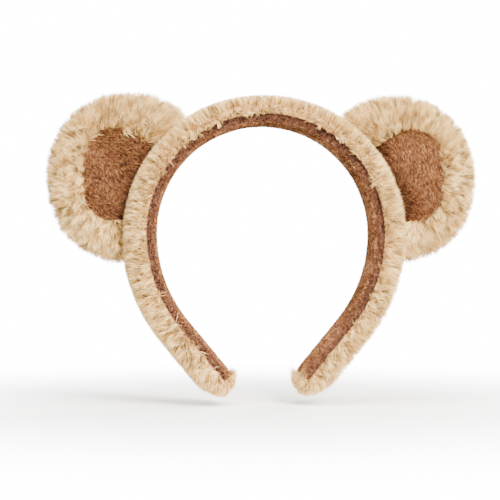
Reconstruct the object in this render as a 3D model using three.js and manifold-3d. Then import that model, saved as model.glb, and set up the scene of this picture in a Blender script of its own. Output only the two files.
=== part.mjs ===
// Plush bear-ears headband: a sprung plastic hoop inside a padded sleeve, with two stuffed ears.
//
// Frame, in millimetres: +Z up, +X towards one ear, -Y towards the front. The origin is the
// middle of the crown's inner face, where the band rests on the head.
//
// Every layer of the band follows one curve, the inner face of the lining: an arc over the
// head, a wider arc behind the ears, and a straight run to each tip. A layer is a flat section,
// drawn as (distance out from that face, depth), swept along the curve.

import * as THREE from 'three';
import Module from 'manifold-3d';
import { mergeVertices } from 'three/addons/utils/BufferGeometryUtils.js';

const wasm = await Module();
wasm.setup();

// ---- Driving dimensions ----

// Inner face of the band.
const crownRadius = 55.5;
const lowerRadius = 70;
const lowerSweep = THREE.MathUtils.degToRad(39.5);
const armStraight = 33;

// Layers of the sleeve, from the head outwards, and their depths from front to rear.
const liningThickness = 1.6;
const hoopThickness = 2;
const hoopDepth = 20;
const paddingThickness = 7;
const paddingDepth = 24;
const furThickness = 5;
const furSideThickness = 3.7;
const layerGap = 0.3;
const seamRise = 6.2;
const threadRadius = 0.4;

// Rounding of the sleeve's long edges.
const liningEdge = 3.5;
const paddingEdge = 4;
const furEdge = 7;

// The crown and the arms are parted by a narrow gap that stands for the hoop's bend.
const crownHalfAngle = THREE.MathUtils.degToRad(17.5);
const flexGap = 1.8;

// Ears: the middle of each lies at a turn from the crown and a rise above its root.
const earTurn = THREE.MathUtils.degToRad(67.15);
const earRise = 2.6;
const earSetBack = 2;
const earHalfWidth = 39.5;
const earHalfHeight = 42.5;
const earThickness = 20;
const earSkin = 3.4;
const earRim = 9;
const earRootGap = 1.4;
const earRootThickness = 6;
const earRootTaper = 13;
const rootSeamRadius = 0.3;

// Inner-ear velour patch.
const patchThickness = 1.4;
const patchTopBorder = 14.5;
const patchBottomBorder = 18.5;
const patchOuterBorder = 13.5;
const patchCorner = 15;
const patchRootMargin = 6;
const patchSeamWidth = 0.9;

// Faceting.
const bandStep = 8;
const edgeSteps = 2;
const cornerSteps = 4;
const roundSteps = 3;
const patchSideSteps = 6;
const threadSides = 8;
const tipSides = 20;
const earSides = 32;
const rootSides = 96;
const mergeDistance = 1e-4;

// How far a cutting solid reaches past what it cuts.
const cutMargin = 1;

// ---- Sizes that follow from them ----

const hoopBase = liningThickness + layerGap;
const paddingBase = hoopBase + hoopThickness + layerGap;
const furBase = paddingBase + paddingThickness + layerGap;
const bandThickness = furBase + furThickness;
const sleeveHalfDepth = paddingDepth / 2 + layerGap;
const liningHalfDepth = sleeveHalfDepth + liningThickness;
const furHalfDepth = sleeveHalfDepth + furSideThickness;
const seamHalfGap = threadRadius + layerGap;

const crownEnd = crownRadius * crownHalfAngle;
const armStart = crownEnd + flexGap;
const upperLength = crownRadius * Math.PI / 2;
const lowerLength = lowerRadius * lowerSweep;
const armEnd = upperLength + lowerLength + armStraight;

const rootRadius = crownRadius + bandThickness + earRootGap;
const earReach = (rootRadius + earRise) * Math.sin(earTurn);
const earHeight = (rootRadius + earRise) * Math.cos(earTurn) - crownRadius;

// ---- Materials ----

const finishes = {
  fur: { color: '#d5ba9b', roughness: 0.95 },
  velour: { color: '#9e6b4a', roughness: 0.9 },
  polypropylene: { color: '#e6e3dc', roughness: 0.45 },
  wadding: { color: '#f1eee8', roughness: 1 },
  fibre: { color: '#f5f3ef', roughness: 1 },
  tanThread: { color: '#c8a882', roughness: 0.8 },
  brownThread: { color: '#87583a', roughness: 0.8 },
};

const headband = new THREE.Group();

function addPiece(name, finish, geometry) {
  const material = new THREE.MeshStandardMaterial({ ...finishes[finish], metalness: 0 });
  const mesh = new THREE.Mesh(geometry, material);
  mesh.name = name;
  headband.add(mesh);
}

// ---- Solids ----

function solid(geometry) {
  const bare = geometry.clone();
  bare.deleteAttribute('normal');
  bare.deleteAttribute('uv');
  const merged = mergeVertices(bare, mergeDistance);
  return new wasm.Manifold(new wasm.Mesh({
    numProp: 3,
    vertProperties: new Float32Array(merged.attributes.position.array),
    triVerts: new Uint32Array(merged.index.array),
  }));
}

function geometryOf(manifold) {
  const mesh = manifold.getMesh();
  const geometry = new THREE.BufferGeometry();
  geometry.setAttribute('position', new THREE.BufferAttribute(new Float32Array(mesh.vertProperties), 3));
  geometry.setIndex(new THREE.BufferAttribute(new Uint32Array(mesh.triVerts), 1));
  geometry.computeVertexNormals();
  return geometry;
}

// ---- The band's curve ----

// The point at a distance along the inner face, counted from the crown's middle and negative
// to the left, and at a height above that face.
function bandPoint(along, rise) {
  const side = along < 0 ? -1 : 1;
  const run = Math.abs(along);
  if (run <= upperLength) {
    const turn = run / crownRadius;
    const radius = crownRadius + rise;
    return new THREE.Vector3(side * radius * Math.sin(turn), 0, radius * Math.cos(turn) - crownRadius);
  }
  const turn = Math.min((run - upperLength) / lowerRadius, lowerSweep);
  const straight = Math.max(run - upperLength - lowerLength, 0);
  const radius = lowerRadius + rise;
  const x = crownRadius - lowerRadius + radius * Math.cos(turn) - straight * Math.sin(turn);
  const z = -crownRadius - radius * Math.sin(turn) - straight * Math.cos(turn);
  return new THREE.Vector3(side * x, 0, z);
}

function bandNormal(along) {
  return bandPoint(along, 1).sub(bandPoint(along, 0)).normalize();
}

class BandCurve extends THREE.Curve {
  constructor(from, to, rise, depth) {
    super();
    this.from = from;
    this.to = to;
    this.rise = rise;
    this.depth = depth;
  }

  alongAt(share) {
    return this.from + (this.to - this.from) * share;
  }

  getPoint(share, target = new THREE.Vector3()) {
    const point = bandPoint(this.alongAt(share), this.rise);
    return target.set(point.x, this.depth, point.z);
  }

  getSpacedPoints(count) {
    return this.getPoints(count);
  }

  // Section frames that stay square to the band: x points away from the head, y along the depth.
  computeFrenetFrames(count) {
    const frames = { tangents: [], normals: [], binormals: [] };
    for (let i = 0; i <= count; i += 1) {
      const normal = bandNormal(this.alongAt(i / count));
      const tangent = new THREE.Vector3(normal.z, 0, -normal.x);
      tangent.multiplyScalar(Math.sign(this.to - this.from));
      frames.normals.push(normal);
      frames.tangents.push(tangent);
      frames.binormals.push(new THREE.Vector3().crossVectors(tangent, normal));
    }
    return frames;
  }
}

function sweep(section, from, to, rise = 0, depth = 0) {
  return new THREE.ExtrudeGeometry(section, {
    steps: Math.ceil(Math.abs(to - from) / bandStep),
    curveSegments: edgeSteps,
    extrudePath: new BandCurve(from, to, rise, depth),
  });
}

// ---- Sections, as (rise, depth) ----

// A channel with rounded long edges: its back at one rise, its mouth at another.
function channelSection(back, mouth, halfDepth, innerHalfDepth, wall, edge) {
  const way = Math.sign(mouth - back);
  const innerEdge = Math.max(edge - wall, edge / 4);
  const floor = back + way * wall;
  const section = new THREE.Shape();
  section.moveTo(mouth, -halfDepth);
  section.lineTo(back + way * edge, -halfDepth);
  section.quadraticCurveTo(back, -halfDepth, back, edge - halfDepth);
  section.lineTo(back, halfDepth - edge);
  section.quadraticCurveTo(back, halfDepth, back + way * edge, halfDepth);
  section.lineTo(mouth, halfDepth);
  section.lineTo(mouth, innerHalfDepth);
  section.lineTo(floor + way * innerEdge, innerHalfDepth);
  section.quadraticCurveTo(floor, innerHalfDepth, floor, innerHalfDepth - innerEdge);
  section.lineTo(floor, innerEdge - innerHalfDepth);
  section.quadraticCurveTo(floor, -innerHalfDepth, floor + way * innerEdge, -innerHalfDepth);
  section.lineTo(mouth, -innerHalfDepth);
  section.closePath();
  return section;
}

const liningSection = channelSection(
  0, seamRise - seamHalfGap, liningHalfDepth, sleeveHalfDepth, liningThickness, liningEdge);
const furSection = channelSection(
  bandThickness, seamRise + seamHalfGap, furHalfDepth, sleeveHalfDepth, furThickness, furEdge);

const hoopSection = new THREE.Shape();
hoopSection.moveTo(hoopBase, -hoopDepth / 2);
hoopSection.lineTo(hoopBase + hoopThickness, -hoopDepth / 2);
hoopSection.lineTo(hoopBase + hoopThickness, hoopDepth / 2);
hoopSection.lineTo(hoopBase, hoopDepth / 2);
hoopSection.closePath();

const paddingTop = paddingBase + paddingThickness;
const paddingSection = new THREE.Shape();
paddingSection.moveTo(paddingBase, -paddingDepth / 2);
paddingSection.lineTo(paddingTop - paddingEdge, -paddingDepth / 2);
paddingSection.quadraticCurveTo(paddingTop, -paddingDepth / 2, paddingTop, paddingEdge - paddingDepth / 2);
paddingSection.lineTo(paddingTop, paddingDepth / 2 - paddingEdge);
paddingSection.quadraticCurveTo(paddingTop, paddingDepth / 2, paddingTop - paddingEdge, paddingDepth / 2);
paddingSection.lineTo(paddingBase, paddingDepth / 2);
paddingSection.closePath();

const threadSection = new THREE.Shape();
threadSection.absarc(0, 0, threadRadius, 0, Math.PI * 2);

// ---- Band pieces ----

// The lining's long edges are sewn to the fur at the front and the rear.
function addSleeveSeams(name, from, to) {
  const seamDepth = (sleeveHalfDepth + liningHalfDepth) / 2 + threadRadius;
  addPiece(`${name}_front_seam`, 'brownThread', sweep(threadSection, from, to, seamRise, -seamDepth));
  addPiece(`${name}_rear_seam`, 'brownThread', sweep(threadSection, from, to, seamRise, seamDepth));
}

function addCrown() {
  addPiece('crown_lining', 'velour', sweep(liningSection, -crownEnd, crownEnd));
  addPiece('crown_hoop', 'polypropylene', sweep(hoopSection, -crownEnd, crownEnd));
  addPiece('crown_padding', 'wadding', sweep(paddingSection, -crownEnd, crownEnd));
  addPiece('crown_fur', 'fur', sweep(furSection, -crownEnd, crownEnd));
  addSleeveSeams('crown', -crownEnd, crownEnd);
}

// The fur folds over the end of the band and closes it with a round tip.
function furTip(side) {
  const radius = bandThickness / 2;
  const edge = Math.min(furEdge, radius);
  const profile = new THREE.Path();
  profile.moveTo(0, -furHalfDepth);
  profile.lineTo(radius - edge, -furHalfDepth);
  profile.quadraticCurveTo(radius, -furHalfDepth, radius, edge - furHalfDepth);
  profile.lineTo(radius, furHalfDepth - edge);
  profile.quadraticCurveTo(radius, furHalfDepth, radius - edge, furHalfDepth);
  profile.lineTo(0, furHalfDepth);
  const puck = new THREE.LatheGeometry(profile.getPoints(roundSteps), tipSides);
  const end = bandPoint(side * armEnd, radius);
  puck.translate(end.x, 0, end.z);
  const reach = 2 * bandThickness;
  const behind = new THREE.BoxGeometry(2 * reach, 2 * (furHalfDepth + cutMargin), reach);
  behind.translate(0, 0, reach / 2);
  behind.rotateY(side * lowerSweep);
  behind.translate(end.x, 0, end.z);
  return solid(puck).subtract(solid(behind));
}

function addArm(side, name) {
  const start = side * armStart;
  const end = side * (armEnd - layerGap);
  const liningEnd = side * (armEnd - 2 * seamHalfGap);
  addPiece(`${name}_arm_lining`, 'velour', sweep(liningSection, start, liningEnd));
  addPiece(`${name}_arm_hoop`, 'polypropylene', sweep(hoopSection, start, end));
  addPiece(`${name}_arm_padding`, 'wadding', sweep(paddingSection, start, end));

  const cover = solid(sweep(furSection, start, side * (armEnd + threadRadius)));
  addPiece(`${name}_arm_fur`, 'fur', geometryOf(cover.add(furTip(side))));
  addSleeveSeams(`${name}_arm`, start, end);

  const tipWidth = hoopDepth - threadRadius;
  const tipSeam = new THREE.CylinderGeometry(threadRadius, threadRadius, tipWidth, threadSides);
  const seamAt = bandPoint(side * (armEnd - seamHalfGap), liningThickness / 2);
  tipSeam.translate(seamAt.x, 0, seamAt.z);
  addPiece(`${name}_tip_seam`, 'brownThread', tipSeam);
}

// ---- Ears ----

// A fat-rimmed oval pad, smaller all round by the inset.
function earPad(side, inset) {
  const half = earThickness / 2 - inset;
  const rim = earRim - inset;
  const profile = new THREE.Path();
  profile.moveTo(0, -half);
  profile.lineTo(earHalfWidth - inset - rim, -half);
  profile.quadraticCurveTo(earHalfWidth - inset, -half, earHalfWidth - inset, 0);
  profile.quadraticCurveTo(earHalfWidth - inset, half, earHalfWidth - inset - rim, half);
  profile.lineTo(0, half);
  const pad = new THREE.LatheGeometry(profile.getPoints(roundSteps), earSides);
  pad.scale(1, 1, (earHalfHeight - inset) / (earHalfWidth - inset));
  pad.translate(side * earReach, earSetBack, earHeight);
  return solid(pad);
}

// What the ear may fill where it narrows towards its sewn root, smaller by the inset.
function earFan(side, inset) {
  const half = earThickness / 2 - inset;
  const rootHalf = Math.max(earRootThickness / 2 - inset, 0);
  const behind = -earHalfHeight;
  const beyond = 2 * earHalfWidth + cutMargin;
  const fan = new THREE.Shape();
  fan.moveTo(behind, -rootHalf);
  fan.lineTo(0, -rootHalf);
  fan.lineTo(earRootTaper, -half - cutMargin);
  fan.lineTo(beyond, -half - cutMargin);
  fan.lineTo(beyond, half + cutMargin);
  fan.lineTo(earRootTaper, half + cutMargin);
  fan.lineTo(0, rootHalf);
  fan.lineTo(behind, rootHalf);
  fan.closePath();
  const length = 4 * earHalfHeight;
  const prism = new THREE.ExtrudeGeometry(fan, { depth: length, bevelEnabled: false });
  prism.translate(0, 0, -length / 2);
  prism.translate(rootRadius, 0, 0);
  if (side < 0) {
    prism.rotateY(Math.PI);
  }
  prism.rotateY(side * (earTurn - Math.PI / 2));
  prism.translate(0, earSetBack, -crownRadius);
  return solid(prism);
}

// The room that the band takes up, wider all round by the clearance.
function bandRoom(clearance) {
  const radius = rootRadius + clearance;
  const room = new THREE.CylinderGeometry(radius, radius, 2 * earThickness, rootSides);
  room.translate(0, 0, -crownRadius);
  return solid(room);
}

function earSolid(side, inset) {
  let body = earPad(side, inset);
  if (inset * 2 < earRootThickness) {
    body = body.intersect(earFan(side, inset));
  } else {
    body = body.intersect(earFan(side, earRootThickness / 2 - layerGap));
  }
  return body.subtract(bandRoom(inset));
}

// The seam that joins the two fur panels runs round the rim, buried in their pile. Its groove is
// the same ring, fatter by the grow.
function rimSeam(side, grow) {
  const half = threadRadius + grow;
  const radius = earHalfWidth - earSkin / 2;
  const profile = new THREE.Path();
  profile.moveTo(radius - half, -half);
  profile.lineTo(radius + half, -half);
  profile.lineTo(radius + half, half);
  profile.lineTo(radius - half, half);
  profile.lineTo(radius - half, -half);
  const ring = new THREE.LatheGeometry(profile.getPoints(1), earSides);
  ring.scale(1, 1, (earHalfHeight - earSkin / 2) / radius);
  ring.translate(side * earReach, earSetBack, earHeight);
  return solid(ring);
}

// The ear is sewn to the band by a line of thread along its root.
function addRootSeam(side, name) {
  const halfSpread = Math.asin(earHalfHeight / rootRadius) - earRim / rootRadius;
  const from = side * crownRadius * (earTurn - halfSpread);
  const to = side * crownRadius * (earTurn + halfSpread);
  const rise = bandThickness + earRootGap / 2;
  const section = new THREE.Shape();
  section.absarc(0, 0, rootSeamRadius, 0, Math.PI * 2);
  addPiece(`${name}_ear_root_seam`, 'tanThread', sweep(section, from, to, rise, earSetBack));
}

function halfSpace(way, from) {
  const size = 4 * (earReach + earHalfWidth);
  const box = new THREE.BoxGeometry(size, size, size);
  box.translate(0, from + way * size / 2, 0);
  return solid(box);
}

// The patch's outline: round outer corners, and a side that runs along the band.
function patchOutline(side, grow) {
  const radius = rootRadius + patchRootMargin - grow;
  const top = earHeight + earHalfHeight - patchTopBorder + grow;
  const bottom = earHeight - earHalfHeight + patchBottomBorder - grow;
  const outer = earReach + earHalfWidth - patchOuterBorder + grow;
  const corner = patchCorner + grow;
  const upperTurn = Math.PI / 2 - Math.acos((top - corner / 2 + crownRadius) / radius);
  const lowerTurn = Math.asin((bottom + crownRadius) / radius);
  const outline = new THREE.Shape();
  const upperX = side * radius * Math.cos(upperTurn);
  outline.moveTo(upperX, radius * Math.sin(upperTurn) - crownRadius);
  outline.quadraticCurveTo(upperX + side * corner / 2, top, upperX + side * corner, top);
  outline.lineTo(side * (outer - corner), top);
  outline.quadraticCurveTo(side * outer, top, side * outer, top - corner);
  outline.lineTo(side * outer, bottom + corner);
  outline.quadraticCurveTo(side * outer, bottom, side * (outer - corner), bottom);
  outline.lineTo(side * radius * Math.cos(lowerTurn), bottom);
  for (let i = 1; i < patchSideSteps; i += 1) {
    const turn = lowerTurn + (upperTurn - lowerTurn) * i / patchSideSteps;
    outline.lineTo(side * radius * Math.cos(turn), radius * Math.sin(turn) - crownRadius);
  }
  outline.closePath();
  return outline;
}

function extrudeDepth(shape, front, rear) {
  const geometry = new THREE.ExtrudeGeometry(shape, {
    depth: rear - front,
    bevelEnabled: false,
    curveSegments: cornerSteps,
  });
  geometry.rotateX(Math.PI / 2);
  geometry.translate(0, rear, 0);
  return geometry;
}

function addEar(side, name) {
  const groove = rimSeam(side, layerGap);
  const skin = earSolid(side, 0).subtract(earSolid(side, earSkin)).subtract(groove);
  const patchRear = earSetBack - earThickness / 2 + earSkin - layerGap / 2;
  const patchFront = patchRear - patchThickness;
  const windowGrow = 2 * layerGap + patchSeamWidth;
  const windowCut = solid(extrudeDepth(
    patchOutline(side, windowGrow), earSetBack - earThickness, earSetBack));
  const front = skin.intersect(halfSpace(-1, earSetBack - layerGap / 2)).subtract(windowCut);
  const rear = skin.intersect(halfSpace(1, earSetBack + layerGap / 2));
  addPiece(`${name}_ear_front_fur`, 'fur', geometryOf(front));
  addPiece(`${name}_ear_rear_fur`, 'fur', geometryOf(rear));
  const rimThread = rimSeam(side, 0).subtract(bandRoom(earSkin));
  addPiece(`${name}_ear_rim_seam`, 'tanThread', geometryOf(rimThread));
  addRootSeam(side, name);
  addPiece(`${name}_ear_stuffing`, 'fibre', geometryOf(earSolid(side, earSkin + layerGap)));

  const patch = extrudeDepth(patchOutline(side, 0), patchFront, patchRear);
  addPiece(`${name}_ear_patch`, 'velour', patch);
  const seamRing = solid(extrudeDepth(
    patchOutline(side, layerGap + patchSeamWidth), patchFront, patchRear));
  const seamHole = solid(extrudeDepth(
    patchOutline(side, layerGap), patchFront - cutMargin, patchRear + cutMargin));
  addPiece(`${name}_ear_patch_seam`, 'brownThread', geometryOf(seamRing.subtract(seamHole)));
}

addCrown();
for (const [side, name] of [[-1, 'left'], [1, 'right']]) {
  addArm(side, name);
  addEar(side, name);
}

export default headband;
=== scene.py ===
# %% [markdown]
# # A plush bear-ears headband
#
# The real thing is a springy plastic hoop in a padded sleeve. The sleeve's inside is brown
# velour, a cloth with a short upright pile, and its outside is tan faux fur, a cloth with a
# long soft pile. Two stuffed ears are sewn on top, each with a velour patch in its front.
#
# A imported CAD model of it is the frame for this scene: it says where everything is and what
# moves. This file gives that frame its looks. The first cell loads it.

# %% Load the frame
import math
import bmesh
import bpy
import numpy as np
from mathutils.kdtree import KDTree
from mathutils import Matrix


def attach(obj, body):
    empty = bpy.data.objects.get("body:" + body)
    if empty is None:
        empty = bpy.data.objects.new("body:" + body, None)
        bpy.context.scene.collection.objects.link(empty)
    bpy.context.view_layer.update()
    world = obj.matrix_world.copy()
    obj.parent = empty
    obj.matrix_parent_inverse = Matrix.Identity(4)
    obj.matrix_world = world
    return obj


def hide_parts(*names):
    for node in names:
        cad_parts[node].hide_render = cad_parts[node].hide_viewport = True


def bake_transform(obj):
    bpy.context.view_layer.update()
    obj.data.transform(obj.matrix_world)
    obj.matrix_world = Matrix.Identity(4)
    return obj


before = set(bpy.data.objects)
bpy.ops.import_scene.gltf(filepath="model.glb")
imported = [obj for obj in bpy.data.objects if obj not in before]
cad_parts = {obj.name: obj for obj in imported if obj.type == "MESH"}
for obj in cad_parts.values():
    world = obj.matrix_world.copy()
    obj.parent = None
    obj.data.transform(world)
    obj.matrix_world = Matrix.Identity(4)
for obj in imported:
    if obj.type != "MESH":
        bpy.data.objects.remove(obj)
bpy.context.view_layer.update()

# %% [markdown]
# ## The camera
#
# A headband is shown from the front, a little from the left, at the height of its middle. A
# long lens from 90 cm keeps both arms at the same size. It comes first, so that each
# later step can be looked at.

# %% Set the camera
MM = 0.001
CAMERA_AZIMUTH = math.radians(-6)
CAMERA_DISTANCE = 900 * MM
FRAME_WIDTH = 260.4 * MM
camera_target = np.array([-7.2, 0, -64.0]) * MM

camera_back = np.array([math.sin(CAMERA_AZIMUTH), -math.cos(CAMERA_AZIMUTH), 0])
camera_data = bpy.data.cameras.new("front_camera")
camera = bpy.data.objects.new("front_camera", camera_data)
camera.location = camera_target + CAMERA_DISTANCE * camera_back
camera.rotation_euler = (math.pi / 2, 0, CAMERA_AZIMUTH)
camera_data.lens = camera_data.sensor_width * CAMERA_DISTANCE / FRAME_WIDTH
bpy.context.scene.collection.objects.link(camera)
bpy.context.scene.camera = camera
print("lens in mm:", round(camera_data.lens, 1))

# %% [markdown]
# ## Sizes
#
# These sizes repeat the frame's: the curve of the inner face, the rise of each layer above it,
# and the ears. A rise is a distance away from the head. The pile's own sizes are new here,
# because the frame holds only its bulk.

# %% Name the sizes
CROWN_RADIUS = 55.5 * MM
LOWER_RADIUS = 70 * MM
LOWER_SWEEP = math.radians(39.5)
ARM_STRAIGHT = 33 * MM
UPPER_LENGTH = CROWN_RADIUS * math.pi / 2
LOWER_LENGTH = LOWER_RADIUS * LOWER_SWEEP
ARM_END = UPPER_LENGTH + LOWER_LENGTH + ARM_STRAIGHT

SLEEVE_RISE = 12.4 * MM
SLEEVE_HALF_DEPTH = 13.4 * MM

ROOT_RADIUS = 73.4 * MM
EAR_TURN = math.radians(67.15)
EAR_MIDDLE = ROOT_RADIUS + 2.6 * MM
EAR_X = EAR_MIDDLE * math.sin(EAR_TURN)
EAR_Z = EAR_MIDDLE * math.cos(EAR_TURN) - CROWN_RADIUS
EAR_SET_BACK = 2 * MM

SIDES = {"left": -1, "right": 1}
print("each arm ends", round(ARM_END / MM, 1), "mm from the crown's middle")
print("each ear's middle is at", round(EAR_X / MM, 1), round(EAR_Z / MM, 1), "mm")


# %% [markdown]
# ## The band's curve
#
# Every band layer follows the inner face: an arc over the head, a wider arc below the ears and
# a straight run to the tip. One function gives the point, for a distance along that face and a
# rise above it. It takes whole arrays, so a mesh of thousands of points is one call.

# %% Write the curve as a function
def band_point(along, rise):
    """x and z for a distance from the crown's middle along the inner face, and a rise."""
    along = np.asarray(along, float)
    crown_turn = np.minimum(along, UPPER_LENGTH) / CROWN_RADIUS
    lower_turn = np.clip((along - UPPER_LENGTH) / LOWER_RADIUS, 0, LOWER_SWEEP)
    straight = np.maximum(along - UPPER_LENGTH - LOWER_LENGTH, 0)
    turn = crown_turn + lower_turn
    x = CROWN_RADIUS * np.sin(crown_turn) + LOWER_RADIUS * (np.cos(lower_turn) - 1)
    z = CROWN_RADIUS * (np.cos(crown_turn) - 1) - LOWER_RADIUS * np.sin(lower_turn)
    x = x + straight * np.cos(turn) + rise * np.sin(turn)
    z = z - straight * np.sin(turn) + rise * np.cos(turn)
    return x, z


tip_x, tip_z = band_point(ARM_END, 0)
print("inner face ends at", round(float(tip_x) / MM, 1), round(float(tip_z) / MM, 1), "mm")

# %% [markdown]
# ## The sleeve
#
# The sleeve is two strips sewn edge to edge round the padded hoop, so its section is one rounded
# oblong: the head side is velour, the rest is fur. A superellipse gives that oblong with soft
# corners and slightly full sides, as padding does. Sweeping it along the band curve makes the
# cloth. The section shrinks to nothing past the arm's end, which closes the tip like a finger.

# %% Sweep the sleeve's section
TIP_LENGTH = 6.5 * MM
TIP_BACK = 0.4
TIP_POWER = 2.4
TIP_DEPTH = 0.25
TIP_CLOSING = 4
SECTION_POWER = 2 / 4.2


def swell(wave):
    """Bends a sine or cosine so that a circle becomes a rounded oblong."""
    return np.sign(wave) * np.abs(wave) ** SECTION_POWER


def sleeve_point(side, along, turn, inset=0.0):
    """A point on the sleeve's cloth. Turn 0 faces away from the head, and pi faces the head."""
    past = np.clip((along - ARM_END + TIP_LENGTH * TIP_BACK) / ((1 + TIP_BACK) * TIP_LENGTH), 0, 1)
    close = np.sqrt(np.maximum(1 - past**TIP_POWER, 0))
    half_rise = (SLEEVE_RISE / 2 - inset) * close
    broad = (TIP_DEPTH + (1 - TIP_DEPTH) * close) * np.minimum(close * TIP_CLOSING, 1)
    half_depth = (SLEEVE_HALF_DEPTH - inset) * broad
    rise = SLEEVE_RISE / 2 + half_rise * swell(np.cos(turn))
    x, z = band_point(along, rise)
    y = half_depth * swell(np.sin(turn))
    return np.stack(np.broadcast_arrays(side * x, y, z), -1)


def even_turns(first, last, count, finer=40):
    """Turns round the section that are evenly spaced on the cloth."""
    fine = np.linspace(first, last, finer * count)
    ring = sleeve_point(1, np.array(0.0), fine)
    walked = np.concatenate([[0], np.cumsum(np.linalg.norm(np.diff(ring, axis=0), axis=1))])
    return np.interp(np.linspace(0, walked[-1], count), walked, fine)


section = sleeve_point(1, np.array(0.0), even_turns(0, 2 * math.pi, 60))
print("the sleeve is", np.round(np.ptp(section[:, 1:], axis=0) / MM, 1), "mm deep and thick")

# %% [markdown]
# ## Meshes from arrays
#
# Blender can take a whole mesh at once from numpy arrays, which is far quicker than adding
# points one by one. Each cloth is a grid of points with a second grid just under it, because
# cloth has a thickness, and the two are joined round their open edges.

# %% Turn points into meshes
def add_mesh(name, vertices, faces):
    """A mesh object from arrays: vertices n by 3, faces m by 3 or 4."""
    vertices = np.ascontiguousarray(vertices, np.float32).reshape(-1, 3)
    corners = faces.shape[1]
    mesh = bpy.data.meshes.new(name)
    mesh.vertices.add(len(vertices))
    mesh.vertices.foreach_set("co", vertices.ravel())
    mesh.loops.add(faces.size)
    mesh.loops.foreach_set("vertex_index", faces.astype(np.int32).ravel())
    mesh.polygons.add(len(faces))
    mesh.polygons.foreach_set("loop_start", np.arange(0, faces.size, corners, dtype=np.int32))
    mesh.update(calc_edges=True)
    piece = bpy.data.objects.new(name, mesh)
    bpy.context.scene.collection.objects.link(piece)
    return piece


def grid_faces(rows, columns, closed=False):
    """Quads between a grid's points, row by row. A closed grid joins its last column to its first."""
    wide = columns if closed else columns - 1
    row, column = np.meshgrid(np.arange(rows - 1), np.arange(wide), indexing="ij")
    following = (column + 1) % columns
    quads = [row * columns + column, row * columns + following]
    quads += [(row + 1) * columns + following, (row + 1) * columns + column]
    return np.stack(quads, -1).reshape(-1, 4)


def add_cloth(name, outer, inner):
    """Cloth with thickness: two grids of points, joined along their four edges."""
    rows, columns = outer.shape[:2]
    sheet = grid_faces(rows, columns)
    below = sheet[:, ::-1] + rows * columns
    number = np.arange(rows * columns).reshape(rows, columns)
    edges = []
    for rim in (number[0][::-1], number[-1], number[:, 0], number[::-1, -1]):
        under = rim + rows * columns
        edges.append(np.stack([rim[:-1], under[:-1], under[1:], rim[1:]], -1))
    faces = np.concatenate([sheet, below, *edges])
    vertices = np.concatenate([outer.reshape(-1, 3), inner.reshape(-1, 3)])
    piece = add_mesh(name, vertices, faces)
    piece.data.polygons.foreach_set("use_smooth", np.ones(len(faces), bool))
    return piece


print("a grid of 3 by 3 points has", len(grid_faces(3, 3)), "faces")


# %% [markdown]
# ## Growing a pile
#
# Fur and velour are the same cloth at two lengths: fibres stand out of a knitted backing. Hair
# particles would be the quick way in Blender, but they are lost when a model is exported, so
# each fibre here is a real sliver of mesh. Faux fur has thousands of fibres to a square
# centimetre, too fine to show, so one sliver stands for a small tuft of them.
#
# What makes a pile look real is how its fibres gather: they lean with the nap, they drift
# together into locks, and no two are quite alike. So the fibres of one lock are pulled towards
# the lock's middle, more at the tip than at the root.

# %% Scatter roots on a cloth
NO_VECTOR = 1e-12
NOISE_WAVES = 9
WAVE_SPREAD = (0.4, 1.9)


def unit(vectors):
    return vectors / np.maximum(np.linalg.norm(vectors, axis=-1, keepdims=True), NO_VECTOR)


def smooth_noise(points, size, seed):
    """A value at each point, mostly from -1 to 1, that drifts over about this size.

    It is a sum of sine waves that run in random directions, some longer and some shorter.
    """
    rng = np.random.default_rng(seed)
    total = np.zeros(len(points))
    for _ in range(NOISE_WAVES):
        way = unit(rng.normal(size=3)) * rng.uniform(*WAVE_SPREAD)
        total += np.sin(points @ way * 2 * math.pi / size + rng.uniform(0, 2 * math.pi))
    return total / math.sqrt(NOISE_WAVES)


def grid_normals(grid, core):
    """Unit normals of a grid of points, pointing away from the core points inside it."""
    normals = unit(np.cross(np.gradient(grid, axis=0), np.gradient(grid, axis=1)))
    facing = np.sign(np.sum(normals * (grid - core), axis=-1, keepdims=True))
    return normals * np.where(facing == 0, 1, facing)


def scatter(grid, density, seed):
    """Random places on a grid surface, at this many to a square metre, as rows and columns of it."""
    rng = np.random.default_rng(seed)
    rows, columns = grid.shape[:2]
    cell_a = grid[1:, :-1] - grid[:-1, :-1]
    cell_b = grid[:-1, 1:] - grid[:-1, :-1]
    areas = np.linalg.norm(np.cross(cell_a, cell_b), axis=-1).ravel()
    count = int(areas.sum() * density)
    cell = rng.choice(len(areas), size=count, p=areas / areas.sum())
    row = cell // (columns - 1) + rng.uniform(size=count)
    column = cell % (columns - 1) + rng.uniform(size=count)
    return row, column


def at_grid(grid, row, column):
    """Values of a grid between its points."""
    r, c = np.floor(row).astype(int), np.floor(column).astype(int)
    fr, fc = (row - r)[:, None], (column - c)[:, None]
    top = grid[r, c] * (1 - fc) + grid[r, c + 1] * fc
    low = grid[r + 1, c] * (1 - fc) + grid[r + 1, c + 1] * fc
    return top * (1 - fr) + low * fr


trial = smooth_noise(np.linspace(0, 1, 999)[:, None] * [1, 0, 0], 10 * MM, 1)
print("the drift runs from", round(trial.min(), 1), "to", round(trial.max(), 1))

# %% Number the locks
LOCK_WAVE = 3
LOCK_UNEVENNESS = 0.35
LARGE_PRIMES = (92821, 68917)


def drift(points, size, seed):
    """A direction at each point that turns slowly over the cloth."""
    return np.stack([smooth_noise(points, size, seed + k) for k in range(3)], -1)


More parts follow.
